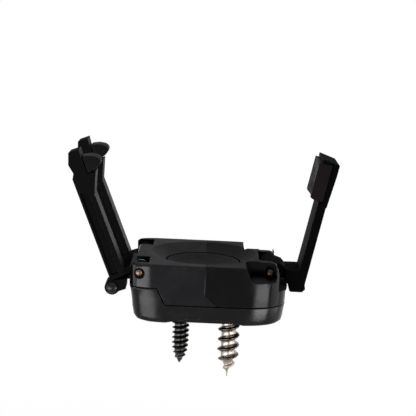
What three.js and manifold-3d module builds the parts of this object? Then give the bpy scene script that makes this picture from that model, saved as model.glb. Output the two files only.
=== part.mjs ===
// Golf ball pickup: a folding claw that screws into the end of a club's grip.
// Lengths are in millimetres. +Z is up, X runs along the base and Y points away from the viewer.
// The origin is the centre of the base's bottom face. The claw is shown open.
import * as THREE from 'three';
import { mergeVertices } from 'three/addons/utils/BufferGeometryUtils.js';
import Module from 'manifold-3d';

const library = await Module();
library.setup();

// Gaps and overruns
const fitGap = 0.15; // between fixed pieces that seat on each other
const runGap = 0.2; // beside the faces that turn
const stopGap = 0.35; // between a turning arm and the part of the base that stops it
const overrun = 3; // how far a cut passes the face it opens

// Ball that the claw is made for
const ballDiameter = 42.67;
const ballOffset = 1.27; // its centre lies this far left of the middle of the base
const ballHeight = 8.8; // its lowest point above the bottom face
const gripGap = 0.1; // between the ball and the pads
const dishGap = 0.25; // between the ball and the dish

// Base body
const baseLength = 31;
const baseDepth = 25.8;
const rimHeight = 11.4;
const partingHeight = 3.5;
const raisedPartingHeight = 6.7; // the cup climbs to this at the left end
const raisedLength = 5.6; // length of the raised stretch from the left end
const raisedSlope = 1.6; // length of the slope that ends it
const seamOffset = 0.55; // joint between the two housings, left of the middle
const seamTabTop = 5.7; // the left housing's foot spreads to the right below this height
const seamTabReach = 2.8;
const cheekRound = 1.2; // rounding at the top of the left cheeks
const archRise = 1; // shallow arch in the lower edge at the front and rear
const archSpan = 15;
const archInset = 1.6; // how far the arch runs in under the base
const endReliefHeight = 9.5; // the block between the left lugs is cut down to this height
const endReliefLength = 1.3;

// Hinge pins
const pinHeight = 9.5;
const leftPinInset = 2.2; // from the left end of the base
const rightPinInset = 3.7; // from the right end of the base
const pinRadius = 0.7;
const pinHoleGap = 0.15;
const leftPinEndInset = 0.8; // each end of the left pin, inward of the base's side
const rightPinEndInset = 4.7;
const pinEndRound = 0.15;
const pinMouthRadius = 1.1; // mouth of the hole round each end of the left pin
const pinMouthDepth = 0.3; // how far the pin's end stands up in that mouth

// Friction washers on the pins, one on the inner side of each left prong and two beside the neck
const washerRadius = 1.3;
const washerThickness = 0.3;

// Left fork, two prongs tied by a bar
const leftProngWidth = 4.6;
const leftProngInset = 2.1; // base's side to each prong's outer face
const leftBarrelRadius = 1.35;
const leftArmTopDrop = 0.5; // pin axis down to the flat top of the arm
const leftArmThroatDrop = 1.62; // and to its underside where it leaves the slot
const leftArmFootDrop = 3.6; // and to its lower corner beside the base
const leftBladeOffset = 2.9; // pin axis to the blade's inner face
const leftBladeThickness = 3;
const leftBladeBallGap = 1.4;
const leftGussetLength = 3.95;
const leftGussetReach = 1.7;
const leftShelfRise = 6.3; // shelf under the pad, above the point nearest the ball
const leftHeadRise = 11.35; // top of the head above the same point
const leftHeadThickness = 2.1;
const webDepth = 0.55;
const webOuterRail = 0.5;
const webInnerRail = 1.05;
const heelOut = 5.2; // centre of the heel, outward of the pin
const heelDrop = 3.4; // and below it
const heelRadius = 1.45;
const barRadius = 0.85;
const barHeadRadius = 1.1;
const barHeadHeight = 0.5;

// Right prong, one wide head on a blade and a narrow neck, which folds in between the left prongs
const laneGap = 1; // between the head and each left prong when both are folded
const bladeSideInset = 1; // the blade is narrower than the head by this much on each side
const knuckleRadius = 1.75;
const knuckleWall = 1.9; // thickness of each wall beside the neck
const knuckleReach = 1.7; // pin axis to the face that ends the knuckle
const stepHeight = 6.5; // step in the base under the heel
const rightBladeOffset = 5.8;
const rightBladeThickness = 1.7;
const rightBladeBallGap = 1.45;
const rightHeadFlare = 0.35;
const rightPadDrop = 2; // foot of the pad below the point nearest the ball
const rightPadRise = 5.6; // top of the pad above that point
const rightHeadRise = 6.3;
const rightPadSeat = 0.85; // depth of the seat cut for the pad
const rightLipReach = 1.3; // lip over the pad, inward of the blade
const rightHeadSlope = 0.5; // the head's top falls outwards by this much
const heelInner = 3.3; // pin axis to the heel's inner face
const heelBottom = 4.3; // lowest point of the heel below the pin

// Pads
const leftPadHeight = 3.55;
const leftPadReach = 3.17;
const rightPadReach = 2.6;

// Pockets that take the left pads when the fork is folded
const pocketMargin = 0.65; // beside the folded pad
const pocketTaper = 1.5; // the inner wall of the pocket leans by this much
const pocketFloorGap = 0.68; // under the folded pad
const pocketPastPin = 1.1;
const pocketLobeRadius = 1.25;
const endWallHeight = 10.5; // top of the wall that closes each pocket at the right
const slotFloorGap = 0.9; // under the barrels, in the slots that they turn in

// Seat under the ball
const seatRadius = 7.3;
const seatThickness = 1.1;
const housingFloor = 1.1; // wall between the seat and the hollow under it
const hollowLength = 13.6;
const hollowDepth = 13.4;

// Screws that hold the cup to the housings
const caseScrewLeftInset = 8.7; // from the left end of the base
const caseScrewRightInset = 5.9; // from the right end
const caseScrewSideInset = 4.3; // from the base's sides
const caseScrewHeadRadius = 1.45;
const caseScrewHeadHeight = 0.9;
const caseScrewRadius = 0.7;
const caseScrewLength = 6.6;
const caseScrewInset = 0.25;
const caseDriveRadius = 0.87;
const caseDriveWidth = 0.4;
const caseDriveDepth = 0.5;

// Screws that grip the club
const gripHeadRadius = 3.3;
const gripHeadHeight = 1.6;
const gripHeadFloor = 1.4; // underside of the heads above the bottom face
const gripDriveWidth = 0.8;
const gripDriveDepth = 0.9;
const blackScrewOffset = 5.2; // left of the middle
const blackScrewRadius = 1.78;
const blackScrewCore = 1.3;
const blackScrewPitch = 1.03;
const blackScrewDrop = 11.5; // tip below the bottom face
const blackScrewPoint = 1.3;
const brightScrewOffset = 4.5; // right of the middle
const brightScrewRadius = 2.25;
const brightScrewCore = 1.45;
const brightScrewPitch = 2.05;
const brightScrewDrop = 14;
const brightScrewPoint = 3.6;

// Shares of the sizes above, chosen by eye
// Height, left reach, right reach, depth and the left power of each ring of the base
const baseRingShares = [
  [0, 0.86, 0.94, 0.962, 7],
  [0.03, 0.91, 0.96, 0.978, 8],
  [0.1, 0.94, 0.973, 0.984, 8],
  [0.24, 0.957, 0.986, 0.988, 8],
  [0.41, 0.972, 0.993, 0.993, 8],
  [0.56, 0.99, 1, 1, 9],
  [0.965, 1, 1, 1, 9],
  [1, 0.977, 0.977, 0.974, 9],
];
const basePowerRightShare = 3.6;
// Reach and height of the pads' outlines
const leftPadShares = [[0, 0], [0.58, 0.1], [0.9, 0.24], [1, 0.46], [0.87, 0.69], [0.49, 0.89], [0, 1]];
const rightPadShares = [[0, 0], [0.72, 0], [0.97, 0.035], [1, 0.09], [1, 1], [0, 1]];
// Outward and upward points of the left head's outer face, of its rise above the shelf
const leftHeadShares = [[0.1, 0.56], [0.27, 0.2], [0, 0]];
// Reach and drop of the underside of the right heel, of its width and its lowest point
const rightHeelShares = [[0, 0.94], [0.1, 1], [0.74, 1], [0.92, 0.86]];
// Reach and rise of the top of the right neck, of its length and the knuckle's radius
const rightNeckShares = [[0, 1], [0.32, 0.8], [0.76, 0.5], [1, 0]];
// Reach and rise of the hollow that joins the left barrel to the arm, of the barrel's radius
const leftThroatShares = [[0, 1], [0.8, 0.1]];

// Facets
const ringSteps = 64;
const rodSteps = 20;
const pinSteps = 16;
const ballSteps = 56;
const threadSteps = 18;
const threadRows = 6;
const archSteps = 120;
const arcSteps = 6;

// Values worked out from the sizes
const halfLength = baseLength / 2;
const halfDepth = baseDepth / 2;
const ballRadius = ballDiameter / 2;
const ballCentre = new THREE.Vector3(-ballOffset, 0, ballHeight + ballRadius);
const far = baseLength;
const leftPinX = leftPinInset - halfLength;
const rightPinX = halfLength - rightPinInset;
const pinHoleRadius = pinRadius + pinHoleGap;
const washerRoom = washerThickness + 2 * fitGap;
const leftPinLength = baseDepth - 2 * leftPinEndInset;
const rightPinLength = baseDepth - 2 * rightPinEndInset;
const forkSpread = halfDepth - leftProngInset - leftProngWidth / 2; // to the middle of each left prong
const forkInside = forkSpread - leftProngWidth / 2;
const pocketSide = forkInside - runGap;
const neckSlotHalf = pocketSide - knuckleWall;
const neckWidth = 2 * (neckSlotHalf - washerRoom);
const headWidth = 2 * (forkInside - laneGap);
const bladeWidth = headWidth - 2 * bladeSideInset;
const seatFloor = ballHeight - dishGap - seatThickness;
const hollowTop = seatFloor - fitGap - housingFloor;

// Turns a three.js geometry into a solid that can be joined and cut
function toSolid(geometry) {
  geometry.deleteAttribute('normal');
  geometry.deleteAttribute('uv');
  const merged = mergeVertices(geometry);
  const vertProperties = Float32Array.from(merged.attributes.position.array);
  const triVerts = Uint32Array.from(merged.index.array);
  return new library.Manifold(new library.Mesh({ numProp: 3, vertProperties, triVerts }));
}

// Turns a solid back into a three.js geometry
function toGeometry(solid) {
  const mesh = solid.getMesh();
  const geometry = new THREE.BufferGeometry();
  geometry.setAttribute('position', new THREE.BufferAttribute(mesh.vertProperties, mesh.numProp));
  geometry.setIndex(new THREE.BufferAttribute(mesh.triVerts, 1));
  geometry.computeVertexNormals();
  return geometry;
}

// Joins a list of solids
function join(solids) {
  return solids.reduce((whole, next) => whole.add(next));
}

// Cuts a list of solids out of one
function cut(solid, tools) {
  return tools.reduce((rest, tool) => rest.subtract(tool), solid);
}

// Extrudes an outline of X and Z points from one Y to another
function slab(points, fromY, toY) {
  const shape = new THREE.Shape(points.map(([x, z]) => new THREE.Vector2(x, z)));
  const geometry = new THREE.ExtrudeGeometry(shape, { depth: toY - fromY, bevelEnabled: false });
  geometry.rotateX(Math.PI / 2);
  geometry.translate(0, toY, 0);
  return toSolid(geometry);
}

// Box between two corners
function block(low, high) {
  const size = high.map((value, axis) => value - low[axis]);
  const geometry = new THREE.BoxGeometry(...size);
  geometry.translate(...low.map((value, axis) => value + size[axis] / 2));
  return toSolid(geometry);
}

// Round rod along Y
function rodAcross(radius, fromY, toY, x, z, steps = rodSteps) {
  const geometry = new THREE.CylinderGeometry(radius, radius, toY - fromY, steps);
  geometry.translate(x, (fromY + toY) / 2, z);
  return toSolid(geometry);
}

// Two places on Y on one side of the middle, the lower first
function spanAcross(side, near, away) {
  return [side * near, side * away].sort((a, b) => a - b);
}

// Round rod along Z
function rodUp(radius, fromZ, toZ, x, y, steps = rodSteps) {
  const geometry = new THREE.CylinderGeometry(radius, radius, toZ - fromZ, steps);
  geometry.rotateX(Math.PI / 2);
  geometry.translate(x, y, (fromZ + toZ) / 2);
  return toSolid(geometry);
}

// Solid turned about Z from an outline of radius and height points
function turned(points, steps) {
  const geometry = new THREE.LatheGeometry(points.map(([r, z]) => new THREE.Vector2(r, z)), steps);
  geometry.rotateX(Math.PI / 2);
  return toSolid(geometry);
}

// Points of an arc, angles in radians from +X towards +Z
function arc(x, z, radius, fromAngle, toAngle, steps = arcSteps) {
  return Array.from({ length: steps + 1 }, (_, i) => {
    const angle = fromAngle + ((toAngle - fromAngle) * i) / steps;
    return [x + radius * Math.cos(angle), z + radius * Math.sin(angle)];
  });
}

// The ball's own shape, grown by a gap, with its poles on a vertical axis
function ballShape(gap, fromPoint) {
  const geometry = new THREE.SphereGeometry(ballRadius + gap, ballSteps, ballSteps / 2);
  geometry.rotateX(Math.PI / 2);
  geometry.translate(ballCentre.x - fromPoint.x, 0, ballCentre.z - fromPoint.z);
  return toSolid(geometry);
}

// Closed body through a stack of rings, each a list of [x, y, z] points of equal count
function stacked(rings) {
  const count = rings[0].length;
  const positions = rings.flat(2);
  const faces = [];
  for (let ring = 0; ring + 1 < rings.length; ring += 1) {
    for (let i = 0; i < count; i += 1) {
      const a = ring * count + i;
      const b = ring * count + ((i + 1) % count);
      faces.push(a, b, b + count, a, b + count, a + count);
    }
  }
  const bottom = rings.length * count;
  const top = bottom + 1;
  positions.push(...middle(rings[0]), ...middle(rings.at(-1)));
  for (let i = 0; i < count; i += 1) {
    const next = (i + 1) % count;
    faces.push(bottom, next, i);
    faces.push(top, bottom - count + i, bottom - count + next);
  }
  const geometry = new THREE.BufferGeometry();
  geometry.setAttribute('position', new THREE.Float32BufferAttribute(positions, 3));
  geometry.setIndex(faces);
  return toSolid(geometry);
}

// Middle point of a ring
function middle(ring) {
  return ring[0].map((_, axis) => ring.reduce((sum, point) => sum + point[axis], 0) / ring.length);
}

// One ring of the base: square to the left and round to the right
function baseRing([heightShare, leftShare, rightShare, depthShare, leftPower]) {
  return Array.from({ length: ringSteps }, (_, i) => {
    const angle = (2 * Math.PI * i) / ringSteps;
    const along = Math.cos(angle);
    const side = Math.sin(angle);
    const power = along < 0 ? leftPower : basePowerRightShare;
    const reach = halfLength * (along < 0 ? leftShare : rightShare);
    return [
      Math.sign(along) * reach * Math.abs(along) ** (2 / power),
      Math.sign(side) * halfDepth * depthShare * Math.abs(side) ** (2 / power),
      heightShare * rimHeight,
    ];
  });
}

// Outline of everything under or over the joint between the cup and the housings
function partingOutline(gap, edge) {
  const slopeStart = raisedLength - halfLength + gap;
  return [
    [-far, raisedPartingHeight + gap],
    [slopeStart, raisedPartingHeight + gap],
    [slopeStart + raisedSlope, partingHeight + gap],
    [far, partingHeight + gap],
    [far, edge],
    [-far, edge],
  ];
}

// Outline of everything left or right of the joint between the two housings
function seamOutline(gap, edge) {
  const seam = gap - seamOffset;
  return [
    [seam, far],
    [seam, seamTabTop],
    [seam + seamTabReach, partingHeight],
    [seam + seamTabReach, -overrun],
    [edge, -overrun],
    [edge, far],
  ];
}

// Places of the four screws that hold the cup, as [x, y]
const caseScrewPlaces = [caseScrewLeftInset - halfLength, halfLength - caseScrewRightInset].flatMap((x) => [
  [x, caseScrewSideInset - halfDepth],
  [x, halfDepth - caseScrewSideInset],
]);

const body = stacked(baseRingShares.map(baseRing));

// Lower cup, with seats for the heads of all the screws
function makeBaseCup() {
  const cup = body.intersect(slab(partingOutline(0, -overrun), -far, far));
  const gripSeats = [
    [-blackScrewOffset, blackScrewRadius],
    [brightScrewOffset, brightScrewRadius],
  ].flatMap(([x, radius]) => [
    rodUp(radius + fitGap, -overrun, partingHeight, x, 0),
    rodUp(gripHeadRadius + fitGap, gripHeadFloor - fitGap, raisedPartingHeight + overrun, x, 0),
  ]);
  const caseSeats = caseScrewPlaces.flatMap(([x, y]) => [
    rodUp(caseScrewRadius + fitGap, -overrun, raisedPartingHeight + overrun, x, y, pinSteps),
    rodUp(
      caseScrewHeadRadius + fitGap,
      -overrun,
      caseScrewInset + caseScrewHeadHeight + fitGap,
      x,
      y,
    ),
  ]);
  return cut(cup, [...gripSeats, ...caseSeats, ...edgeArches()]);
}

// Shallow arches in the lower edge at the front and rear, each part of a large cylinder
function edgeArches() {
  const radius = (archSpan ** 2 / 4 + archRise ** 2) / (2 * archRise);
  return [-1, 1].map((side) => {
    const [fromY, toY] = spanAcross(side, halfDepth - archInset, far);
    return rodAcross(radius, fromY, toY, -seamOffset, archRise - radius, archSteps);
  });
}

// Slots that the left lugs turn in, one on each side of the middle
function leftSlots() {
  const floor = pinHeight - leftBarrelRadius - slotFloorGap;
  const end = leftPinX + leftBarrelRadius + stopGap;
  const near = forkInside - washerRoom;
  const away = forkSpread + leftProngWidth / 2 + runGap;
  return [-1, 1].map((side) => {
    const [fromY, toY] = spanAcross(side, near, away);
    return block([-far, fromY, floor], [end, toY, far]);
  });
}

// Wider mouths of the left pin's hole
function pinMouths() {
  const start = leftPinLength / 2 - pinMouthDepth;
  return [-1, 1].map((side) => {
    const [fromY, toY] = spanAcross(side, start, far);
    return rodAcross(pinMouthRadius, fromY, toY, leftPinX, pinHeight);
  });
}

// Pockets on the right that take the folded left pads
function padPockets() {
  const padFoot = leftPinX + leftArm.tangent + leftShelfRise;
  const padTipHeight = pinHeight + leftBladeOffset - fitGap - leftPadReach;
  const floor = padTipHeight - pocketFloorGap;
  const right = rightPinX + pocketPastPin;
  const outline = [
    [padFoot - pocketMargin, far],
    [padFoot - pocketMargin, rimHeight],
    [padFoot - pocketMargin + pocketTaper, floor],
    [right, floor],
    [right, endWallHeight],
    [far, endWallHeight],
    [far, far],
  ];
  return [-1, 1].flatMap((side) => {
    const [fromY, toY] = spanAcross(side, pocketSide, far);
    return [
      slab(outline, fromY, toY),
      rodAcross(pocketLobeRadius, fromY, toY, rightPinX, pinHeight),
    ];
  });
}

// Slot that the right neck turns in
function neckSlot() {
  const floor = pinHeight - knuckleRadius - slotFloorGap;
  return block(
    [rightPinX - knuckleRadius - stopGap, -neckSlotHalf, floor],
    [far, neckSlotHalf, far],
  );
}

// Everything cut off the right end above the step, which leaves the knuckle round the pin
function rightEndCut() {
  const endAngle = Math.acos(knuckleReach / knuckleRadius);
  return slab([
    [rightPinX - knuckleRadius, far],
    [rightPinX - knuckleRadius, pinHeight + knuckleRadius],
    ...arc(rightPinX, pinHeight, knuckleRadius, Math.PI / 2, endAngle),
    [rightPinX + knuckleReach, stepHeight],
    [far, stepHeight],
    [far, far],
  ], -far, far);
}

// Rounds the top of the left cheeks and lowers the block between the lugs
function leftEndCuts() {
  const centreX = cheekRound - halfLength;
  const centreZ = rimHeight - cheekRound;
  const corner = slab([
    [-far, centreZ],
    ...arc(centreX, centreZ, cheekRound, Math.PI, Math.PI / 2),
    [centreX, far],
    [-far, far],
  ], -far, far);
  const relief = block(
    [-far, -forkSpread, endReliefHeight],
    [endReliefLength - halfLength, forkSpread, far],
  );
  return [corner, relief];
}

// Hollow under the dish, open downwards
function underHollow() {
  return block(
    [-ballOffset - hollowLength / 2, -hollowDepth / 2, -overrun],
    [-ballOffset + hollowLength / 2, hollowDepth / 2, hollowTop],
  );
}

// Both housings as one, before they are parted
function makeHousing() {
  const shell = body.intersect(slab(partingOutline(fitGap, far), -far, far));
  const caseHoles = caseScrewPlaces.map(([x, y]) => rodUp(
    caseScrewRadius + fitGap,
    -overrun,
    caseScrewInset + caseScrewLength + fitGap,
    x,
    y,
    pinSteps,
  ));
  return cut(shell, [
    ballShape(dishGap, new THREE.Vector3()),
    rodUp(seatRadius + fitGap, seatFloor - fitGap, far, ballCentre.x, 0, ringSteps / 2),
    underHollow(),
    rightEndCut(),
    neckSlot(),
    ...leftEndCuts(),
    ...leftSlots(),
    ...padPockets(),
    rodAcross(pinHoleRadius, -far, far, leftPinX, pinHeight, pinSteps),
    rodAcross(pinHoleRadius, -far, far, rightPinX, pinHeight, pinSteps),
    ...pinMouths(),
    ...caseHoles,
  ]);
}

// Dished seat that bridges the joint between the housings under the ball
function makeBallSeat() {
  const top = ballRadius + dishGap;
  const dish = Array.from({ length: arcSteps + 1 }, (_, i) => {
    const radius = (seatRadius * (arcSteps - i)) / arcSteps;
    return [radius, ballCentre.z - Math.sqrt(top ** 2 - radius ** 2)];
  });
  return turned([[0, seatFloor], [seatRadius, seatFloor], ...dish], ringSteps / 2);
}

// Hinge pin along Y about its own middle, with its ends eased
function makePin(length) {
  const half = length / 2;
  const pin = new THREE.LatheGeometry([
    [0, -half],
    [pinRadius - pinEndRound, -half],
    [pinRadius, pinEndRound - half],
    [pinRadius, half - pinEndRound],
    [pinRadius - pinEndRound, half],
    [0, half],
  ].map(([r, y]) => new THREE.Vector2(r, y)), pinSteps);
  return toSolid(pin);
}

// Lean of a blade that lies a given gap off the ball, and how far up it the ball is nearest.
// side is -1 on the left and 1 on the right, and sideways is where on Y the gap is held.
function makeArm(side, pinX, bladeOffset, gap, sideways) {
  const across = side * (pinX - ballCentre.x);
  const up = ballCentre.z - pinHeight;
  const reach = Math.hypot(across, up);
  const clearance = Math.sqrt(ballRadius ** 2 - sideways ** 2) + gap - bladeOffset;
  return {
    side,
    pin: new THREE.Vector3(pinX, 0, pinHeight),
    lean: Math.atan2(up, across) - Math.acos(clearance / reach),
    tangent: Math.sqrt(reach ** 2 - clearance ** 2),
  };
}

// A point given outward and upward of the pin, along the leaning blade
function leaning(arm, [out, up]) {
  return [
    arm.side * (out * Math.cos(arm.lean) + up * Math.sin(arm.lean)),
    up * Math.cos(arm.lean) - out * Math.sin(arm.lean),
  ];
}

// A point given outward and upward of the pin, square to the base
function upright(arm, [out, up]) {
  return [arm.side * out, up];
}

const leftArm = makeArm(
  -1,
  leftPinX,
  leftBladeOffset,
  leftBladeBallGap,
  forkSpread - leftProngWidth / 2,
);
const rightArm = makeArm(1, rightPinX, rightBladeOffset, rightBladeBallGap, 0);

// Outline of a left blade from its foot to its head
function leftBladeOutline() {
  const outer = leftBladeOffset + leftBladeThickness;
  const shelf = leftArm.tangent + leftShelfRise;
  const top = leftArm.tangent + leftHeadRise;
  const rise = top - shelf;
  const headOuter = outer - leftHeadThickness / 2;
  return [
    [leftBladeOffset, 0],
    [leftBladeOffset, shelf - leftGussetLength],
    [leftBladeOffset - leftGussetReach, shelf],
    [leftBladeOffset, shelf],
    [leftBladeOffset, shelf + leftPadHeight + fitGap],
    [headOuter - leftHeadThickness, top],
    [headOuter, top],
    ...leftHeadShares.map(([outShare, upShare]) => [
      outer - outShare * leftHeadThickness,
      shelf + upShare * rise,
    ]),
    [outer, -heelRadius],
  ].map((point) => leaning(leftArm, point));
}

// Outline of the arm from the barrel on the pin to the heel
function leftArmOutline() {
  const inner = leftPinInset + stopGap;
  const underHeel = arc(heelOut, -heelDrop, heelRadius, -Math.PI / 3, (-5 * Math.PI) / 6);
  return [
    ...leftThroatShares.map(([outShare, upShare]) => [
      outShare * leftBarrelRadius,
      upShare * leftBarrelRadius,
    ]),
    [leftBladeOffset, -leftArmTopDrop],
    [heelOut, -leftArmTopDrop],
    ...underHeel,
    [inner, -leftArmFootDrop],
    [inner, -leftArmThroatDrop],
    [0, -leftBarrelRadius],
  ].map((point) => upright(leftArm, point));
}

// Hollow in the side of a left blade, between its two rails
function leftWebOutline() {
  const inner = leftBladeOffset + webInnerRail;
  const outer = leftBladeOffset + leftBladeThickness - webOuterRail;
  const top = leftArm.tangent + leftShelfRise - leftGussetLength;
  return [
    [inner, webInnerRail],
    [inner, top],
    [outer, top + webInnerRail],
    [outer, webInnerRail],
  ].map((point) => leaning(leftArm, point));
}

// One prong of the left fork, at its place on Y
function makeLeftProng(middleY) {
  const low = middleY - leftProngWidth / 2;
  const high = middleY + leftProngWidth / 2;
  const [heelX, heelZ] = upright(leftArm, [heelOut, -heelDrop]);
  const prong = join([
    slab(leftBladeOutline(), low, high),
    slab(leftArmOutline(), low, high),
    rodAcross(leftBarrelRadius, low, high, 0, 0),
    rodAcross(heelRadius, low, high, heelX, heelZ),
  ]);
  return cut(prong, [
    rodAcross(pinHoleRadius, low - overrun, high + overrun, 0, 0, pinSteps),
    rodAcross(barRadius + fitGap, low - overrun, high + overrun, heelX, heelZ, pinSteps),
    slab(leftWebOutline(), low - overrun, low + webDepth),
    slab(leftWebOutline(), high - webDepth, high + overrun),
  ]);
}

// Bar that ties the two left prongs at the heel, with a domed head at each end
function makeHeelBar() {
  const half = forkSpread + leftProngWidth / 2;
  const [heelX, heelZ] = upright(leftArm, [heelOut, -heelDrop]);
  const dome = arc(0, 0, 1, 0, Math.PI / 2, arcSteps / 2);
  const head = dome.map(([r, y]) => [r * barHeadRadius, half + fitGap + y * barHeadHeight]);
  const upper = [[barRadius, half + fitGap], ...head];
  const lower = upper.map(([r, y]) => [r, -y]).reverse();
  const points = [...lower, ...upper].map(([r, y]) => new THREE.Vector2(Math.max(r, 0), y));
  points[0].x = 0;
  points.at(-1).x = 0;
  const geometry = new THREE.LatheGeometry(points, pinSteps);
  geometry.translate(heelX, 0, heelZ);
  return toSolid(geometry);
}

// Pad on the head of a left prong, hollowed to the ball
function makeLeftPad(middleY) {
  const back = leftBladeOffset - fitGap;
  const foot = leftArm.tangent + leftShelfRise + fitGap;
  const outline = leftPadShares.map(([reachShare, heightShare]) => leaning(leftArm, [
    back - reachShare * leftPadReach,
    foot + heightShare * (leftPadHeight - fitGap),
  ]));
  const low = middleY - leftProngWidth / 2;
  const high = middleY + leftProngWidth / 2;
  return slab(outline, low, high).subtract(ballShape(gripGap, leftArm.pin));
}

// Outline of the right blade, from the heel into the head
function rightBladeOutline() {
  const outer = rightBladeOffset + rightBladeThickness;
  const end = rightArm.tangent - rightPadDrop;
  return [
    [rightBladeOffset, 0],
    [rightBladeOffset, end],
    [outer, end],
    [outer, -heelBottom / 2],
  ].map((point) => leaning(rightArm, point));
}

// Outline of the right head, with the seat for its pad and the lip over it
function rightHeadOutline() {
  const foot = rightArm.tangent - rightPadDrop;
  const seatTop = rightArm.tangent + rightPadRise;
  const seat = rightBladeOffset + rightPadSeat;
  const top = rightArm.tangent + rightHeadRise;
  const outer = rightBladeOffset + rightBladeThickness;
  return [
    [rightBladeOffset, foot - rightPadSeat],
    [seat, foot],
    [seat, seatTop],
    [rightBladeOffset - rightLipReach, seatTop],
    [rightBladeOffset - rightLipReach, top],
    [outer + rightHeadFlare, top - rightHeadSlope],
    [outer + rightHeadFlare, seatTop - rightPadDrop],
    [outer, foot - rightPadSeat],
  ].map((point) => leaning(rightArm, point));
}

// Outline of the wide heel, which stands over the step in the base
function rightHeelOutline() {
  const stepInner = rightPinInset + stopGap;
  const ledge = stepHeight + stopGap - pinHeight;
  const width = rightBladeOffset + rightBladeThickness - stepInner;
  return [
    [heelInner, 0],
    [heelInner, ledge],
    [stepInner, ledge],
    ...rightHeelShares.map(([outShare, dropShare]) => [
      stepInner + outShare * width,
      -dropShare * heelBottom,
    ]),
    [rightBladeOffset + rightBladeThickness / 2, 0],
  ].map((point) => upright(rightArm, point));
}

// Outline of the narrow neck between the pin and the heel
function rightNeckOutline() {
  const end = rightBladeOffset + rightBladeThickness / 2;
  return [
    ...rightNeckShares.map(([outShare, upShare]) => [
      outShare * heelInner,
      upShare * knuckleRadius,
    ]),
    [end, 0],
    [end, -knuckleRadius],
    [0, -knuckleRadius],
  ].map((point) => upright(rightArm, point));
}

// The right prong
function makeRightProng() {
  const half = headWidth / 2;
  const bladeHalf = bladeWidth / 2;
  const neckHalf = neckWidth / 2;
  const prong = join([
    slab(rightBladeOutline(), -bladeHalf, bladeHalf),
    slab(rightHeadOutline(), -half, half),
    slab(rightHeelOutline(), -bladeHalf, bladeHalf),
    slab(rightNeckOutline(), -neckHalf, neckHalf),
    rodAcross(knuckleRadius, -neckHalf, neckHalf, 0, 0),
  ]);
  return cut(prong, [
    rodAcross(pinHoleRadius, -far, far, 0, 0, pinSteps),
    ballShape(gripGap, rightArm.pin),
  ]);
}

// Pad in the seat of the right prong, hollowed to the ball
function makeRightPad() {
  const back = rightBladeOffset + rightPadSeat - fitGap;
  const foot = rightArm.tangent - rightPadDrop + fitGap;
  const height = rightPadDrop + rightPadRise - 2 * fitGap;
  const outline = rightPadShares.map(([reachShare, heightShare]) => leaning(rightArm, [
    back - reachShare * rightPadReach,
    foot + heightShare * height,
  ]));
  const half = headWidth / 2;
  return slab(outline, -half, half).subtract(ballShape(gripGap, rightArm.pin));
}

// Friction washer round a pin, about its own middle
function makeWasher() {
  const half = washerThickness / 2;
  const disc = rodAcross(washerRadius, -half, half, 0, 0);
  return disc.subtract(rodAcross(pinHoleRadius, -far, far, 0, 0, pinSteps));
}

// Screw along Z whose thread is one helix, with a flat head above and a point below.
// Heights are measured from the bottom face of the base.
function makeGripScrew(radius, core, pitch, drop, point) {
  const rowStep = pitch / threadRows;
  const threadTop = -fitGap;
  const rows = Math.round((threadTop + drop) / rowStep);
  const ring = (radiusAt, z) => Array.from({ length: threadSteps }, (_, i) => {
    const turn = i / threadSteps;
    const r = radiusAt(turn);
    return [r * Math.cos(2 * Math.PI * turn), r * Math.sin(2 * Math.PI * turn), z];
  });
  const threadRing = (row) => {
    const z = -drop + row * rowStep;
    const taper = Math.min(1, (z + drop + core / 2) / point);
    const end = Math.min(1, (threadTop - z) / pitch);
    return ring((turn) => {
      const phase = z / pitch - turn;
      const ridge = 1 - Math.abs(2 * (phase - Math.floor(phase)) - 1);
      return taper * (core + (radius - core) * ridge * end);
    }, z);
  };
  const thread = Array.from({ length: rows }, (_, row) => threadRing(row));
  const headTop = gripHeadFloor + gripHeadHeight;
  const screw = stacked([
    ...thread,
    ring(() => core, threadTop),
    ring(() => core, gripHeadFloor),
    ring(() => gripHeadRadius, gripHeadFloor),
    ring(() => gripHeadRadius, headTop),
  ]);
  const slot = [gripHeadRadius, gripDriveWidth / 2];
  const slots = [slot, [...slot].reverse()].map(([x, y]) => block(
    [-x / 2, -y, headTop - gripDriveDepth],
    [x / 2, y, headTop + overrun],
  ).add(block([-y / 2, -x / 2, headTop - gripDriveDepth], [y / 2, x / 2, headTop + overrun])));
  return cut(screw, slots);
}

// Screw that holds the cup to a housing, driven from below
function makeCaseScrew() {
  const head = caseScrewInset + caseScrewHeadHeight;
  const tip = caseScrewInset + caseScrewLength;
  const screw = turned([
    [0, caseScrewInset],
    [caseScrewHeadRadius, caseScrewInset],
    [caseScrewHeadRadius, head],
    [caseScrewRadius, head],
    [caseScrewRadius, tip - caseScrewRadius],
    [0, tip],
  ], pinSteps);
  const half = caseDriveWidth / 2;
  const top = caseScrewInset + caseDriveDepth;
  return cut(screw, [
    block([-caseDriveRadius, -half, -overrun], [caseDriveRadius, half, top]),
    block([-half, -caseDriveRadius, -overrun], [half, caseDriveRadius, top]),
  ]);
}

const blackPlastic = { color: 0x101013, roughness: 0.32, metalness: 0 };
const padRubber = { color: 0x17171a, roughness: 0.6, metalness: 0 };
const copperedSteel = { color: 0xb88a6c, roughness: 0.3, metalness: 1 };
const blackenedSteel = { color: 0x1c1b1b, roughness: 0.4, metalness: 0.9 };
const brightSteel = { color: 0xd2ccc0, roughness: 0.22, metalness: 1 };
const springSteel = { color: 0x8c9096, roughness: 0.35, metalness: 1 };

// Names a piece and puts it in a group
function addPiece(group, name, solid, finish, x = 0, y = 0, z = 0) {
  const mesh = new THREE.Mesh(toGeometry(solid), new THREE.MeshStandardMaterial(finish));
  mesh.name = name;
  mesh.position.set(x, y, z);
  group.add(mesh);
}

const claw = new THREE.Group();
const leftFork = new THREE.Group();
const rightSide = new THREE.Group();
leftFork.position.copy(leftArm.pin);
rightSide.position.copy(rightArm.pin);
claw.add(leftFork, rightSide);

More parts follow.
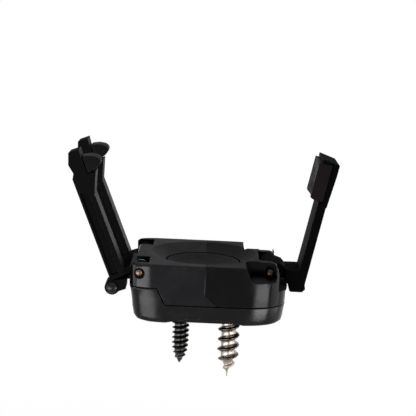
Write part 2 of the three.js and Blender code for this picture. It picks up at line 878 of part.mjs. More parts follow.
const housing = makeHousing();
addPiece(claw, 'base_cup', makeBaseCup(), blackPlastic);
addPiece(claw, 'left_housing', housing.intersect(slab(seamOutline(-fitGap, -far), -far, far)), blackPlastic);
addPiece(claw, 'right_housing', housing.intersect(slab(seamOutline(fitGap, far), -far, far)), blackPlastic);
addPiece(claw, 'ball_seat', makeBallSeat(), blackPlastic, ballCentre.x);
addPiece(claw, 'left_hinge_pin', makePin(leftPinLength), copperedSteel, leftPinX, 0, pinHeight);
addPiece(claw, 'right_hinge_pin', makePin(rightPinLength), copperedSteel, rightPinX, 0, pinHeight);

const leftWasherY = forkInside - fitGap - washerThickness / 2;
const rightWasherY = neckWidth / 2 + fitGap + washerThickness / 2;
for (const [end, side] of [['front', -1], ['rear', 1]]) {
  addPiece(claw, `left_${end}_washer`, makeWasher(), springSteel, leftPinX, side * leftWasherY, pinHeight);
  addPiece(claw, `right_${end}_washer`, makeWasher(), springSteel, rightPinX, side * rightWasherY, pinHeight);
}

addPiece(
  claw,
  'black_grip_screw',
  makeGripScrew(blackScrewRadius, blackScrewCore, blackScrewPitch, blackScrewDrop, blackScrewPoint),
  blackenedSteel,
  -blackScrewOffset,
);
addPiece(
  claw,
  'bright_grip_screw',
  makeGripScrew(brightScrewRadius, brightScrewCore, brightScrewPitch, brightScrewDrop, brightScrewPoint),
  brightSteel,
  brightScrewOffset,
);
caseScrewPlaces.forEach(([x, y], i) => {
  addPiece(claw, `housing_screw_${i + 1}`, makeCaseScrew(), blackenedSteel, x, y);
});

for (const [name, side] of [['front', -1], ['rear', 1]]) {
  addPiece(leftFork, `left_${name}_prong`, makeLeftProng(side * forkSpread), blackPlastic);
  addPiece(leftFork, `left_${name}_pad`, makeLeftPad(side * forkSpread), padRubber);
}
addPiece(leftFork, 'fork_heel_bar', makeHeelBar(), blackenedSteel);
addPiece(rightSide, 'right_prong', makeRightProng(), blackPlastic);
addPiece(rightSide, 'right_pad', makeRightPad(), padRubber);

export default claw;
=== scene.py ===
"""Visual model of a golf ball pickup: a folding claw that screws into the end of a club's grip.

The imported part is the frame, and each piece here is dressed on it in the same place. Lengths in the
classes are in millimetres and meshes are in metres. +Z is up, X runs along the base and Y away from
the viewer.
"""

import logging
import math
from abc import ABC, abstractmethod
from collections.abc import Iterable, Sequence
from dataclasses import dataclass, replace
from enum import Enum

import bmesh
import bpy
from bmesh.types import BMEdge, BMesh
from bpy.types import Material, Node, NodeSocket, NodeTree
from mathutils import Matrix, Vector


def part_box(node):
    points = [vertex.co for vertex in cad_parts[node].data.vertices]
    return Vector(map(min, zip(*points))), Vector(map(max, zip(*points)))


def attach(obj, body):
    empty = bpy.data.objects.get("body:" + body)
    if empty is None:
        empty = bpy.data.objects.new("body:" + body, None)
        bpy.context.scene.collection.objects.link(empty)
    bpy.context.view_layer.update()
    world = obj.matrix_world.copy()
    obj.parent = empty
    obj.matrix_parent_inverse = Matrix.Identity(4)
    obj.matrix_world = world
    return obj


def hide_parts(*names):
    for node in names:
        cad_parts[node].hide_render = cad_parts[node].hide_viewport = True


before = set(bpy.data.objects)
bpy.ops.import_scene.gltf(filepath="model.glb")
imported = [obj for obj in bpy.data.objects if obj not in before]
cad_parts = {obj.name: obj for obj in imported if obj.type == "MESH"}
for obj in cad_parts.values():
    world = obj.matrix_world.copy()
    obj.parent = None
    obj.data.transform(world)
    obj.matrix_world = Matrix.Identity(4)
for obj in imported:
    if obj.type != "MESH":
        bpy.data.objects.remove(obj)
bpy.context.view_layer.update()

log = logging.getLogger("pickup")

MM = 0.001
WEAR = "edge_wear"

# How closely points are merged, cut and compared, in metres
CAD_WELD = 0.03 * MM
TURNED_WELD = 0.002 * MM
THREAD_WELD = 0.004 * MM
CUT_REACH = 0.001 * MM
SAME_HEIGHT = 1e-7

# How edges are told apart, rounded and shaded, with the reach in millimetres
FLAT_ANGLE = math.radians(1.5)
SHARP_ANGLE = math.radians(32)
CREASE_ANGLE = math.radians(24)
BEVEL_ROWS = 2
BORE_REACH = 1.4
FACE_WEIGHT = 80

# A Mix node's colour sockets: the two inputs and the output
MIX_FIRST, MIX_SECOND, MIX_RESULT = 6, 7, 2

Colour = tuple[float, float, float]
Point = tuple[float, float]


class End(Enum):
    """The two ends of a pin or a fork, as they stand in the names of pieces."""

    FRONT = "front"
    REAR = "rear"


class Axis(Enum):
    """The axis that a turned piece is spun about."""

    ALONG_PIN = (0.0, 1.0, 0.0)
    ALONG_SCREW = (0.0, 0.0, 1.0)


# Mesh helpers


def mm(*values: float) -> Vector:
    """Returns a point given in millimetres as a vector in metres."""
    return Vector(values) * MM


def node_middle(node: str) -> Vector:
    """Returns the middle of a CAD node's box, in metres."""
    low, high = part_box(node)
    return (low + high) / 2


def half_depth(node: str) -> float:
    """Returns half of a CAD node's size along Y, in millimetres."""
    low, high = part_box(node)
    return (high.y - low.y) / 2 / MM


def merged_copy(node: str) -> BMesh:
    """Copies a CAD node's mesh, welded and with its flat faces whole.

    Args:
        node: Name of the CAD node.

    Returns:
        The copy, as a new bmesh.
    """
    shape = bmesh.new()
    shape.from_mesh(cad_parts[node].data)
    bmesh.ops.remove_doubles(shape, verts=shape.verts, dist=CAD_WELD)
    bmesh.ops.dissolve_degenerate(shape, edges=shape.edges, dist=CAD_WELD)
    bmesh.ops.dissolve_limit(shape, angle_limit=FLAT_ANGLE, verts=shape.verts, edges=shape.edges)
    return shape


def round_edges(shape: BMesh, width: float, bores: Sequence[Point] = ()) -> None:
    """Bevels the sharp outer edges of a shape and marks the new faces as open to wear.

    Args:
        shape: The shape to change.
        width: Width of the bevel in millimetres.
        bores: Place along X and Z of each bore whose rims stay sharp, in millimetres.
    """

    def by_a_bore(edge: BMEdge) -> bool:
        """Tells whether an edge lies beside one of the bores."""
        middle = (edge.verts[0].co + edge.verts[1].co) / 2 / MM
        return any(math.hypot(middle.x - x, middle.z - z) < BORE_REACH for x, z in bores)

    edges = [
        edge
        for edge in shape.edges
        if edge.is_manifold and edge.calc_face_angle_signed() > SHARP_ANGLE and not by_a_bore(edge)
    ]
    rounded = bmesh.ops.bevel(
        shape,
        geom=edges,
        offset=width * MM,
        offset_type="OFFSET",
        affect="EDGES",
        segments=BEVEL_ROWS,
        profile=0.5,
        material=-1,
        clamp_overlap=False,
        loop_slide=True,
    )
    layer = shape.loops.layers.float.get(WEAR) or shape.loops.layers.float.new(WEAR)
    for face in rounded["faces"]:
        for loop in face.loops:
            loop[layer] = 1.0
    for edge in shape.edges:
        edge.smooth = edge.calc_face_angle(0.0) < CREASE_ANGLE


def turned(profile: Sequence[Point], axis: Axis, place: Vector, steps: int = 40) -> BMesh:
    """Turns a profile about an axis into a closed shape.

    Args:
        profile: Radius and distance along the axis of each point, in millimetres.
        axis: The axis to spin about.
        place: Point on the axis that the distances start from, in metres.
        steps: Facets round the shape.

    Returns:
        The shape, as a new bmesh.
    """
    shape = bmesh.new()
    direction = Vector(axis.value)
    verts = [shape.verts.new(mm(r, 0, 0) + direction * along * MM) for r, along in profile]
    edges = [shape.edges.new(pair) for pair in zip(verts, verts[1:])]
    if profile[0][0] > 0:
        edges.append(shape.edges.new((verts[-1], verts[0])))
    bmesh.ops.spin(
        shape,
        geom=[*verts, *edges],
        cent=(0, 0, 0),
        axis=direction,
        angle=math.tau,
        steps=steps,
        use_merge=True,
    )
    bmesh.ops.remove_doubles(shape, verts=shape.verts, dist=TURNED_WELD)
    bmesh.ops.recalc_face_normals(shape, faces=shape.faces)
    bmesh.ops.translate(shape, verts=shape.verts, vec=place)
    return shape


def carved(body: BMesh, tool: BMesh) -> BMesh:
    """Cuts one closed shape out of another.

    Args:
        body: The shape that is cut. It is freed.
        tool: The shape that is cut away. It is freed.

    Returns:
        What is left, as a new bmesh.
    """
    parts = []
    for shape in (body, tool):
        mesh = bpy.data.meshes.new("carving")
        shape.to_mesh(mesh)
        shape.free()
        parts.append(bpy.data.objects.new("carving", mesh))
        bpy.context.scene.collection.objects.link(parts[-1])
    cut = parts[0].modifiers.new("cut", "BOOLEAN")
    cut.operation = "DIFFERENCE"
    cut.solver = "EXACT"
    cut.object = parts[1]
    result = bmesh.new()
    result.from_object(parts[0], bpy.context.evaluated_depsgraph_get())
    for part in parts:
        bpy.data.meshes.remove(part.data)
    return result


def dress(shape: BMesh, name: str, body: str, slot: str, material: Material, node: str) -> None:
    """Makes a shape a piece that rides on a body and stands for a CAD node.

    Args:
        shape: The finished shape, in place. It is freed.
        name: Name of the piece.
        body: CAD body that the piece rides on.
        slot: The record's material slot. It is not used.
        material: The piece's material.
        node: CAD node that the piece stands for.
    """
    for face in shape.faces:
        face.smooth = True
    mesh = bpy.data.meshes.new(name)
    shape.to_mesh(mesh)
    shape.free()
    mesh.materials.append(material)
    piece = bpy.data.objects.new(name, mesh)
    bpy.context.scene.collection.objects.link(piece)
    shading = piece.modifiers.new("even_shading", "WEIGHTED_NORMAL")
    shading.keep_sharp = True
    shading.weight = FACE_WEIGHT
    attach(piece, body)
    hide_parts(node)
    log.info("%s stands for %s on %s", name, node, body)


# Shader helpers


class Graph:
    """A node tree with short ways to add and join its nodes."""

    def __init__(self, tree: NodeTree) -> None:
        """Empties the tree and keeps it."""
        tree.nodes.clear()
        self.tree = tree

    def show(self, kind: str, shader: Node) -> None:
        """Adds an output node of a kind and links a shader to it."""
        self.join(shader.outputs[0], self.add(kind).inputs["Surface"])

    def add(self, kind: str, **settings: object) -> Node:
        """Adds a node and sets its attributes.

        Args:
            kind: Blender's name for the node's type.
            **settings: Attributes of the node.

        Returns:
            The new node.
        """
        node = self.tree.nodes.new(kind)
        for key, value in settings.items():
            setattr(node, key, value)
        return node

    def join(self, source: NodeSocket, target: NodeSocket) -> None:
        """Links an output to an input."""
        self.tree.links.new(source, target)

    def feed(self, target: NodeSocket, value: object) -> None:
        """Links or sets an input.

        Args:
            target: The input.
            value: A socket that is linked to it, or a plain number or colour that it is set to.
        """
        if isinstance(value, NodeSocket):
            self.join(value, target)
        else:
            target.default_value = value

    def math(self, operation: str, *values: object, clamp: bool = False) -> NodeSocket:
        """Adds a Math node.

        Args:
            operation: Its operation.
            *values: Numbers or sockets for its inputs.
            clamp: True to keep the result from 0 to 1.

        Returns:
            Its output.
        """
        node = self.add("ShaderNodeMath", operation=operation, use_clamp=clamp)
        for socket, value in zip(node.inputs, values):
            self.feed(socket, value)
        return node.outputs[0]

    def noise(
        self, vector: NodeSocket, scale: object, detail: float, distortion: float = 0
    ) -> NodeSocket:
        """Adds a Noise Texture.

        Args:
            vector: The place that it is read at.
            scale: Its scale, as a number or a socket.
            detail: Its detail.
            distortion: Its distortion.

        Returns:
            Its value, from 0 to 1.
        """
        node = self.add("ShaderNodeTexNoise")
        self.join(vector, node.inputs["Vector"])
        self.feed(node.inputs["Scale"], scale)
        node.inputs["Detail"].default_value = detail
        node.inputs["Distortion"].default_value = distortion
        return node.outputs["Fac"]

    def spread(
        self, value: object, low: object, high: object, to_low: float = 0.0, to_high: float = 1.0
    ) -> NodeSocket:
        """Adds a Map Range node that runs smoothly from one result to another.

        Args:
            value: What is mapped.
            low: Value at which the result is to_low.
            high: Value at which the result is to_high.
            to_low: Result at the low value.
            to_high: Result at the high value.

        Returns:
            Its output.
        """
        node = self.add("ShaderNodeMapRange", interpolation_type="SMOOTHSTEP")
        keys = ("Value", "From Min", "From Max", "To Min", "To Max")
        for key, given in zip(keys, (value, low, high, to_low, to_high)):
            self.feed(node.inputs[key], given)
        return node.outputs[0]

    def blend(self, factor: object, first: object, second: object) -> NodeSocket:
        """Adds a Mix node between two colours.

        Args:
            factor: Share of the second colour.
            first: The colour at 0, as a colour with alpha or a socket.
            second: The colour at 1, likewise.

        Returns:
            Its colour.
        """
        node = self.add("ShaderNodeMix", data_type="RGBA")
        self.feed(node.inputs["Factor"], factor)
        self.feed(node.inputs[MIX_FIRST], first)
        self.feed(node.inputs[MIX_SECOND], second)
        return node.outputs[MIX_RESULT]

    def shows_background(self) -> NodeSocket:
        """Tells the rays that show the background from those that light.

        Returns:
            A number, 1 for the rays that show it.
        """
        path = self.add("ShaderNodeLightPath")
        seen = self.math("MAXIMUM", path.outputs["Is Camera Ray"], path.outputs["Is Glossy Ray"])
        return self.math("MAXIMUM", seen, path.outputs["Is Transmission Ray"])

    def mapped(self, vector: NodeSocket, **values: Sequence[float]) -> NodeSocket:
        """Adds a Mapping node.

        Args:
            vector: The place that a pattern is read at.
            **values: Its location, scale or rotation.

        Returns:
            The place after them.
        """
        node = self.add("ShaderNodeMapping")
        self.join(vector, node.inputs["Vector"])
        for key, value in values.items():
            node.inputs[key].default_value = value
        return node.outputs[0]


def shader_group(
    name: str, numbers: dict[str, float], result: str
) -> tuple[Graph, list[NodeSocket], NodeSocket]:
    """Starts a shader node group that is read at a vector.

    Args:
        name: Name of the group.
        numbers: Default of each of its number inputs.
        result: Name of its output, a number.

    Returns:
        The group's graph, its inputs with the vector first, and its output.
    """
    tree = bpy.data.node_groups.new(name, "ShaderNodeTree")
    tree.interface.new_socket("Vector", in_out="INPUT", socket_type="NodeSocketVector")
    for key, default in numbers.items():
        socket = tree.interface.new_socket(key, in_out="INPUT", socket_type="NodeSocketFloat")
        socket.default_value = default
    tree.interface.new_socket(result, in_out="OUTPUT", socket_type="NodeSocketFloat")
    graph = Graph(tree)
    start = graph.add("NodeGroupInput")
    end = graph.add("NodeGroupOutput")
    return graph, start.outputs[: len(numbers) + 1], end.inputs[0]


class Effects:
    """The shader node groups that several finishes share, each built once."""

    def __init__(self) -> None:
        """Builds all the groups."""
        self.grain = self._grain()
        self.scuffs = self._scuffs()
        self.smudges = self._smudges()
        self.edge_wear = self._edge_wear()
        self.thread_depth = self._thread_depth()

    @staticmethod
    def _grain() -> NodeTree:
        """Builds fine grain: a height that varies over a fraction of a millimetre.

        Returns:
            The group.
        """
        g, (vector, scale), height = shader_group("fine_grain", {"Scale": 5000}, "Height")
        fine = g.noise(vector, scale, detail=2)
        coarse = g.noise(vector, g.math("MULTIPLY", scale, 0.22), detail=3)
        g.join(g.math("MULTIPLY_ADD", coarse, 0.6, g.math("MULTIPLY", fine, 0.4)), height)
        return g.tree

    @staticmethod
    def _scuffs() -> NodeTree:
        """Builds thin scratches in two directions, which come in patches.

        Returns:
            The group.
        """
        g, (vector, scale, amount), mask = shader_group(
            "scuffs", {"Scale": 900, "Amount": 0.5}, "Mask"
        )
        lines = []
        for stretch, turn in (((1, 1, 14), (0.5, 0.3, 0.2)), ((12, 1, 1), (0.2, 0.9, 0.4))):
            drawn = g.mapped(vector, Scale=stretch, Rotation=turn)
            lines.append(g.spread(g.noise(drawn, scale, detail=2), low=0.63, high=0.72))
        both = g.math("MAXIMUM", *lines)
        wide = g.noise(vector, g.math("MULTIPLY", scale, 0.25), detail=2)
        patches = g.spread(wide, low=0.42, high=0.6)
        g.join(g.math("MULTIPLY", g.math("MULTIPLY", both, patches), amount, clamp=True), mask)
        return g.tree

    @staticmethod
    def _smudges() -> NodeTree:
        """Builds soft smudges, as hands and grease leave on a gloss surface.

        Returns:
            The group.
        """
        g, (vector, scale), mask = shader_group("smudges", {"Scale": 260}, "Mask")
        wide = g.spread(g.noise(vector, scale, detail=4, distortion=0.6), low=0.38, high=0.66)
        close = g.noise(vector, g.math("MULTIPLY", scale, 4.2), detail=5)
        g.join(g.math("MULTIPLY_ADD", close, 0.5, g.math("MULTIPLY", wide, 0.5)), mask)
        return g.tree

    @staticmethod
    def _edge_wear() -> NodeTree:
        """Builds wear that breaks up along the rounded edges.

        Returns:
            The group.
        """
        g, (vector, edge, scale, amount), mask = shader_group(
            "edge_wear", {"Edge": 0, "Scale": 1400, "Amount": 0.6}, "Mask"
        )
        nicks = g.spread(g.noise(vector, scale, detail=4), low=0.44, high=0.62)
        wide = g.noise(vector, g.math("MULTIPLY", scale, 0.2), detail=2)
        runs = g.spread(wide, low=0.36, high=0.6)
        broken = g.math("MULTIPLY", nicks, runs)
        g.join(g.math("MULTIPLY", broken, g.math("MULTIPLY", edge, amount)), mask)
        return g.tree

    @staticmethod
    def _thread_depth() -> NodeTree:
        """Builds the height in a thread, 0 at the root and 1 at the crest, about a vertical axis.

        Returns:
            The group.
        """
        g, (vector, root, crest), mask = shader_group(
            "thread_depth", {"Root": 0.001, "Crest": 0.002}, "Mask"
        )
        apart = g.add("ShaderNodeSeparateXYZ")
        g.join(vector, apart.inputs[0])
        squares = [g.math("POWER", apart.outputs[axis], 2.0) for axis in ("X", "Y")]
        radius = g.math("SQRT", g.math("ADD", *squares))
        g.join(g.spread(radius, root, crest), mask)
        return g.tree


# Finishes


class Surface:
    """A material with its Principled shader and a pattern centred on one piece."""

    def __init__(self, name: str, centre: Vector) -> None:
        """Starts the material.

        Args:
            name: Name of the material.
            centre: Point in metres that the patterns are centred on.
        """
        self.material = bpy.data.materials.new(name)
        self.material.use_nodes = True
        self.graph = Graph(self.material.node_tree)
        self.shader = self.graph.add("ShaderNodeBsdfPrincipled")
        self.graph.show("ShaderNodeOutputMaterial", self.shader)
        place = self.graph.add("ShaderNodeTexCoord")
        self.vector = self.graph.mapped(place.outputs["Object"], Location=-centre)

    def set(self, **values: object) -> None:
        """Sets or feeds the shader's inputs, named with underscores for spaces."""
        for key, value in values.items():
            self.graph.feed(self.shader.inputs[key.replace("_", " ")], value)

    def effect(self, tree: NodeTree, **values: object) -> NodeSocket:
        """Places a shared effect on this surface.

        Args:
            tree: The effect's node group.
            **values: Its inputs, other than the vector.

        Returns:
            Its output.
        """
        node = self.graph.add("ShaderNodeGroup", node_tree=tree)
        self.graph.join(self.vector, node.inputs["Vector"])
        for key, value in values.items():
            self.graph.feed(node.inputs[key], value)
        return node.outputs[0]

    def upward(self) -> NodeSocket:
        """Finds the faces that point up as the piece is drawn, which are rubbed matt.

        Returns:
            A mask, 1 on those faces.
        """
        apart = self.graph.add("ShaderNodeSeparateXYZ")
        self.graph.join(self.graph.add("ShaderNodeTexCoord").outputs["Normal"], apart.inputs[0])
        return self.graph.spread(apart.outputs["Z"], low=0.55, high=0.92)

    def edge(self) -> NodeSocket:
        """Returns the wear mark that the rounded edges carry."""
        return self.graph.add("ShaderNodeAttribute", attribute_name=WEAR).outputs["Fac"]

    def bump(self, height: NodeSocket, distance: float, strength: float) -> None:
        """Feeds the shader's normal from a height.

        Args:
            height: Height from 0 to 1.
            distance: What a height of 1 stands for, in millimetres.
            strength: Share of the bump that is used.
        """
        node = self.graph.add("ShaderNodeBump")
        node.inputs["Strength"].default_value = strength
        node.inputs["Distance"].default_value = distance * MM
        self.graph.join(height, node.inputs["Height"])
        self.graph.join(node.outputs[0], self.shader.inputs["Normal"])


class Finish(ABC):
    """A finish that pieces can be given.

    Where it has polish or haze, its roughness runs from polish below its value to haze above it.
    """

    def material(self, name: str, centre: Vector, effects: Effects) -> Material:
        """Makes a material with this finish.

        Args:
            name: Name of the material.
            centre: Point in metres that its patterns are centred on.
            effects: The shared shader groups.

        Returns:
            The material.
        """
        surface = Surface(name, centre)
        self.shade(surface, effects)
        return surface.material

    @abstractmethod
    def shade(self, surface: Surface, effects: Effects) -> None:
        """Sets up the surface's shader for this finish.

        Args:
            surface: The surface of one piece.
            effects: The shared shader groups.
        """


@dataclass(frozen=True)
class MouldedPlastic(Finish):
    """Satin gloss moulded plastic with mottling, scuffs and worn edges."""

    colour: Colour
    specular: float
    roughness: float = 0.17
    scuffing: float = 0.4
    edge_wear: float = 0.6
    worn_colour: Colour = (0.02, 0.02, 0.023)
    deep_tone: float = 0.7
    scuff_paleness: float = 0.3
    scuff_depth: float = 0.5
    polish: float = 0.02
    haze: float = 0.035
    wear_dulling: float = 0.16
    top_dulling: float = 0.6
    grain_height: float = 0.01

    def shade(self, surface: Surface, effects: Effects) -> None:
        """Sets up the plastic: paler and duller where it is worn, and dull on top.

        Args:
            surface: The surface of one piece.
            effects: The shared shader groups.
        """
        g = surface.graph
        grain = surface.effect(effects.grain, Scale=5200.0)
        smudge = surface.effect(effects.smudges)
        scuff = surface.effect(effects.scuffs, Amount=self.scuffing)
        worn = surface.effect(effects.edge_wear, Edge=surface.edge(), Amount=self.edge_wear)
        pale = g.math("MAXIMUM", worn, g.math("MULTIPLY", scuff, self.scuff_paleness))
        deep = tuple(c * self.deep_tone for c in self.colour)
        base = g.blend(smudge, (*deep, 1), (*self.colour, 1))
        clean = g.spread(smudge, 0.2, 0.8, self.roughness - self.polish, self.roughness + self.haze)
        top = g.math("MULTIPLY", surface.upward(), self.top_dulling)
        dull = g.math("MULTIPLY_ADD", pale, self.wear_dulling, top)
        surface.set(
            Base_Color=g.blend(pale, base, (*self.worn_colour, 1)),
            Specular_IOR_Level=self.specular,
            Roughness=g.math("ADD", clean, dull, clamp=True),
        )
        height = g.math("SUBTRACT", grain, g.math("MULTIPLY", scuff, self.scuff_depth))
        surface.bump(height, self.grain_height, strength=0.8)


@dataclass(frozen=True)
class PadRubber(Finish):
    """Soft matt rubber, slightly dusty, that grips the ball."""

    colour: Colour = (0.0025, 0.002, 0.0023)
    dusty_colour: Colour = (0.014, 0.011, 0.012)
    roughness: float = 0.7
    specular: float = 0.05
    edge_wear: float = 0.5
    dustiness: float = 0.3
    polish: float = 0.05
    haze: float = 0.12
    grain_height: float = 0.02

    def shade(self, surface: Surface, effects: Effects) -> None:
        """Sets up the rubber, with dust in its smudges and along its edges.

        Args:
            surface: The surface of one piece.
            effects: The shared shader groups.
        """
        g = surface.graph
        grain = surface.effect(effects.grain, Scale=7000.0)
        smudge = surface.effect(effects.smudges, Scale=420.0)
        worn = surface.effect(effects.edge_wear, Edge=surface.edge(), Amount=self.edge_wear)
        dust = g.math("MAXIMUM", worn, g.math("MULTIPLY", smudge, self.dustiness))
        rough = g.spread(smudge, 0.2, 0.8, self.roughness - self.polish, self.roughness + self.haze)
        surface.set(
            Base_Color=g.blend(dust, (*self.colour, 1), (*self.dusty_colour, 1)),
            Specular_IOR_Level=self.specular,
            Roughness=rough,
        )
        surface.bump(grain, self.grain_height, strength=0.9)


@dataclass(frozen=True)
class PlatedSteel(Finish):
    """Plain turned or stamped steel with a thin plating, and darker where it is rubbed less."""

    colour: Colour
    dull_colour: Colour
    roughness: float
    metallic: float = 1.0
    scuffing: float = 0.6
    haze: float = 0.12
    grain_height: float = 0.004

    def shade(self, surface: Surface, effects: Effects) -> None:
        """Sets up the steel, bright where hands and scuffs have rubbed it.

        Args:
            surface: The surface of one piece.
            effects: The shared shader groups.
        """
        g = surface.graph
        grain = surface.effect(effects.grain, Scale=6500.0)
        smudge = surface.effect(effects.smudges, Scale=700.0)
        scuff = surface.effect(effects.scuffs, Scale=2600.0, Amount=self.scuffing)
        tone_mix = g.math("MAXIMUM", smudge, scuff)
        surface.set(
            Base_Color=g.blend(tone_mix, (*self.dull_colour, 1), (*self.colour, 1)),
            Metallic=self.metallic,
            Roughness=g.spread(tone_mix, 0.2, 0.9, self.roughness + self.haze, self.roughness),
        )
        surface.bump(grain, self.grain_height, strength=0.7)


@dataclass(frozen=True)
class ThreadSteel(Finish):
    """Rolled screw steel, smoother on the crests of its thread and painted another tone there, which
    on the grip screws is painted shade.
    """

    crest_colour: Colour
    root_colour: Colour
    root: float
    crest: float
    roughness: float
    metallic: float = 1.0
    smudge_share: float = 0.3
    depth_share: float = 0.8
    polish: float = 0.04
    haze: float = 0.12
    grain_height: float = 0.0015

    def shade(self, surface: Surface, effects: Effects) -> None:
        """Sets up the steel by its height in the thread, with the crests' painted tone: painted shade
        on the grip screws.

        Args:
            surface: The surface of one piece, centred on the screw's axis.
            effects: The shared shader groups.
        """
        g = surface.graph
        grain = surface.effect(effects.grain, Scale=6000.0)
        smudge = surface.effect(effects.smudges, Scale=900.0)
        depth = surface.effect(effects.thread_depth, Root=self.root * MM, Crest=self.crest * MM)
        high = g.math("MULTIPLY", depth, self.depth_share)
        # Real smudges plus the crest depth; the darker crests this gives the grip screws are painted
        # shade
        tone_mix = g.math("MULTIPLY_ADD", smudge, self.smudge_share, high, clamp=True)
        rough = g.spread(tone_mix, 0.1, 0.9, self.roughness + self.haze, self.roughness - self.polish)
        surface.set(
            Base_Color=g.blend(tone_mix, (*self.root_colour, 1), (*self.crest_colour, 1)),
            Metallic=self.metallic,
            Roughness=rough,
        )
        surface.bump(grain, self.grain_height, strength=0.4)


# Sub-assemblies


@dataclass
class BaseShell:
    """The base: a cup below, two housings above, and the dished seat under the ball."""

    effects: Effects
    cup_edge: float = 0.16
    housing_edge: float = 0.08
    cup_finish: Finish = MouldedPlastic((0.0016, 0.0016, 0.0021), specular=0.155)
    left_finish: Finish = MouldedPlastic((0.0012, 0.0011, 0.0026), specular=0.17)
    right_finish: Finish = MouldedPlastic((0.0007, 0.0007, 0.0007), specular=0.095)
    pin_places: Sequence[Point] = ((-13.3, 9.5), (11.8, 9.5))
    seam_x: float = -0.4
    seam_reach: float = 0.02
    seam_closing: float = 0.32
    seat_radius: float = 7.3
    seat_bottom: float = 7.45
    seat_edge: float = 0.12
    seat_facets: int = 72
    dish_radius: float = 21.585
    dish_centre: float = 30.135
    dish_rows: int = 14

    def build(self) -> None:
        """Builds and dresses the four pieces."""
        for node, finish, edge in (
            ("base_cup", self.cup_finish, self.cup_edge),
            ("left_housing", self.left_finish, self.housing_edge),
            ("right_housing", self.right_finish, self.housing_edge),
        ):
            shape = merged_copy(node)
            if node == "right_housing":
                self._close_seam(shape)
            round_edges(shape, edge, self.pin_places)
            material = finish.material(f"{node}_plastic", node_middle(node), self.effects)
            dress(shape, f"{node}_moulding", "base", "housing_plastic", material, node)
        self._seat()

    def _close_seam(self, shape: BMesh) -> None:
        """Moves the seam face of the right housing nearer the left housing.

        Args:
            shape: The right housing.
        """
        for vert in shape.verts:
            if abs(vert.co.x / MM - self.seam_x) < self.seam_reach:
                vert.co.x -= self.seam_closing * MM

    def _seat(self) -> None:
        """Builds and dresses the dished seat that bridges the joint between the housings."""
        rim, edge, rows = self.seat_radius, self.seat_edge, self.dish_rows
        radii = [(rim - edge) * (rows - row) / rows for row in range(rows + 1)]
        dish = [(r, self.dish_centre - math.sqrt(self.dish_radius**2 - r**2)) for r in radii]
        outline = [
            (0, self.seat_bottom),
            (rim - edge, self.seat_bottom),
            (rim, self.seat_bottom + edge),
            (rim, dish[0][1] - edge),
            *dish,
        ]
        middle = node_middle("ball_seat")
        shape = turned(outline, Axis.ALONG_SCREW, Vector((*middle.xy, 0)), self.seat_facets)
        material = self.right_finish.material("ball_seat_plastic", middle, self.effects)
        dress(shape, "ball_seat_dish", "base", "housing_plastic", material, "ball_seat")


@dataclass
class HingePins:
    """The two pins that the prongs turn on, and their friction washers."""

    effects: Effects
    radius: float = 0.7
    end_round: float = 0.22
    end_angles: Sequence[float] = (0, 25, 50, 72, 90)
    washer_radius: float = 1.3
    washer_round: float = 0.05
    bore_radius: float = 0.85
    left_finish: Finish = PlatedSteel((0.2, 0.122, 0.094), (0.075, 0.043, 0.032), 0.24)
    # The right pin is the same copper painted darker: painted shade, for the shadow of the pocket it
    # sits in
    right_finish: Finish = PlatedSteel((0.07, 0.044, 0.032), (0.024, 0.015, 0.011), 0.24)
    washer_finish: Finish = PlatedSteel((0.45, 0.46, 0.48), (0.2, 0.205, 0.21), 0.32)

    def build(self) -> None:
        """Builds and dresses the pins and the washers."""
        for side, finish in (("left", self.left_finish), ("right", self.right_finish)):
            self._pin(side, finish)
            for end in End:
                self._washer(side, end)

    def _pin(self, side: str, finish: Finish) -> None:
        """Builds and dresses one pin, with its ends eased and a little domed.

        Args:
            side: Side of the base that it is on.
            finish: Its finish.
        """
        node = f"{side}_hinge_pin"
        half = half_depth(node)
        ease = [
            (self.radius * math.sin(angle), half - self.end_round * (1 - math.cos(angle)))
            for angle in map(math.radians, self.end_angles)
        ]
        outline = [(r, -y) for r, y in ease] + ease[::-1]
        self._dress_across(outline, node, finish, "copper", "rod", "pin_steel")

    def _washer(self, side: str, end: End) -> None:
        """Builds and dresses one friction washer, with its rims eased.

        Args:
            side: Side of the base that it is on.
            end: End of the pin that it is on.
        """
        node = f"{side}_{end.value}_washer"
        half, ease = half_depth(node), self.washer_round
        outline = [
            (self.bore_radius, -half),
            (self.washer_radius - ease, -half),
            (self.washer_radius, ease - half),
            (self.washer_radius, half - ease),
            (self.washer_radius - ease, half),
            (self.bore_radius, half),
        ]
        self._dress_across(outline, node, self.washer_finish, "steel", "disc", "washer_steel")

    def _dress_across(
        self, outline: Sequence[Point], node: str, finish: Finish, metal: str, form: str, slot: str
    ) -> None:
        """Turns a piece across the base, puts it in its place and dresses it.

        Args:
            outline: Its radius and place along the pin, in millimetres.
            node: CAD node that it stands for.
            finish: Its finish.
            metal: Last word of its material's name.
            form: Last word of its own name.
            slot: The record's material slot.
        """
        middle = node_middle(node)
        shape = turned(outline, Axis.ALONG_PIN, middle)
        material = finish.material(f"{node}_{metal}", middle, self.effects)
        dress(shape, f"{node}_{form}", "base", slot, material, node)


@dataclass
class Arm:
    """What both arms of the claw share: how a prong and its pad are made."""

    effects: Effects
    edge_width: float
    pad_edge_width: float
    finish: Finish
    pad_finish: Finish

    def prong_and_pad(self, place: str, body: str) -> None:
        """Builds and dresses one prong and its pad.

        Args:
            place: First words of their names.
            body: CAD body that they ride on.
        """
        for part, stuff, form, finish, edge in (
            ("prong", "plastic", "moulding", self.finish, self.edge_width),
            ("pad", "rubber", "nose", self.pad_finish, self.pad_edge_width),
        ):
            node, slot = f"{place}_{part}", f"{part}_{stuff}"
            shape = merged_copy(node)
            round_edges(shape, edge)
            material = finish.material(f"{node}_{stuff}", node_middle(node), self.effects)
            dress(shape, f"{node}_{form}", body, slot, material, node)


